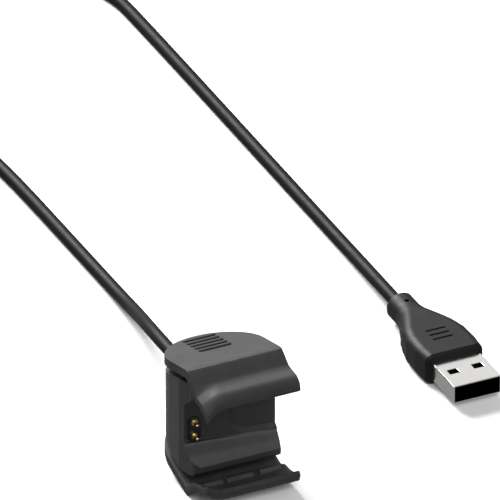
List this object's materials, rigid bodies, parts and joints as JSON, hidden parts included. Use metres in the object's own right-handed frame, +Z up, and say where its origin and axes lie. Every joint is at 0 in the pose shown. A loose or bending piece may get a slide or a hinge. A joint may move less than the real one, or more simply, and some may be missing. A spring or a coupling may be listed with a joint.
{
  "type": "usb charging clip",
  "caption": "Spring-jaw charging clip for a wrist tracker, with sprung contacts in a curved cradle, on a thin lead with a flat USB plug.",
  "frame": {"origin": "under the middle of the clip's own box, on the surface that it and its lead lie on", "axes": "+X across the clip, +Y from its open mouth towards the lead, +Z up"},
  "size_m": [0.0972, 0.2424, 0.0334],
  "materials": {
    "lever_plastic": "fine matt grain",
    "housing_plastic": "fine matt grain",
    "cradle_plastic": "satin",
    "grip_rubber": "matt",
    "pad_rubber": "soft satin",
    "pin_steel": "ground",
    "spring_steel": "drawn wire",
    "carrier_plastic": "gloss",
    "contact_gold": "gold plated, polished",
    "barrel_brass": "gold plated, turned",
    "board_laminate": "solder mask",
    "core_red": "satin",
    "core_black": "satin",
    "lead_jacket": "satin",
    "tie_rubber": "matt",
    "grip_plastic": "fine matt grain",
    "shell_nickel": "nickel plated",
    "tongue_plastic": "satin"
  },
  "bodies": {
    "clip_body": {"upper_torsion_spring": "spring_steel", "lower_torsion_spring": "spring_steel", "upper_hinge_pin": "pin_steel", "lower_hinge_pin": "pin_steel", "housing_shell": "housing_plastic", "cradle_insert": "cradle_plastic", "contact_carrier": "carrier_plastic", "circuit_board": "board_laminate", "wire_positive": "core_red", "wire_negative": "core_black", "pogo_barrel_upper": "barrel_brass", "pogo_barrel_lower": "barrel_brass", "pogo_spring_upper": "spring_steel", "pogo_spring_lower": "spring_steel", "cord_strain_relief": "lead_jacket", "cord_clip_run": "lead_jacket", "cord_coil": "lead_jacket", "cord_plug_run": "lead_jacket", "cord_tie": "tie_rubber", "plug_grip": "grip_plastic", "plug_shell": "shell_nickel", "plug_tongue": "tongue_plastic", "plug_contacts": "contact_gold", "plug_core": "tongue_plastic"},
    "upper_jaw": {"upper_jaw_lever": "lever_plastic", "upper_grip_ribs": "grip_rubber", "upper_jaw_pads": "pad_rubber"},
    "lower_jaw": {"lower_jaw_lever": "lever_plastic", "lower_grip_ribs": "grip_rubber", "lower_jaw_pads": "pad_rubber"},
    "contact_upper": {"pogo_pin_upper": "contact_gold"},
    "contact_lower": {"pogo_pin_lower": "contact_gold"}
  },
  "joints": [
    {"name": "upper_jaw_hinge", "type": "hinge", "parent": "clip_body", "child": "upper_jaw", "pos_m": [0, 0.00335, 0.0252], "axis": [-1, 0, 0], "range_deg": [0, 9], "stiffness_Nm_per_rad": 0.1, "springref_deg": -17.19, "deforming": ["upper_torsion_spring"]},
    {"name": "lower_jaw_hinge", "type": "hinge", "parent": "clip_body", "child": "lower_jaw", "pos_m": [0, 0.00335, 0.0082], "axis": [1, 0, 0], "range_deg": [0, 9], "stiffness_Nm_per_rad": 0.1, "springref_deg": -17.19, "deforming": ["lower_torsion_spring"]},
    {"name": "contact_upper_slide", "type": "slide", "parent": "clip_body", "child": "contact_upper", "axis": [0, 1, 0], "range_m": [0, 0.0012], "stiffness_N_per_m": 300, "springref_m": -0.001, "deforming": ["pogo_spring_upper"]},
    {"name": "contact_lower_slide", "type": "slide", "parent": "clip_body", "child": "contact_lower", "axis": [0, 1, 0], "range_m": [0, 0.0012], "stiffness_N_per_m": 300, "springref_m": -0.001, "deforming": ["pogo_spring_lower"]}
  ]
}
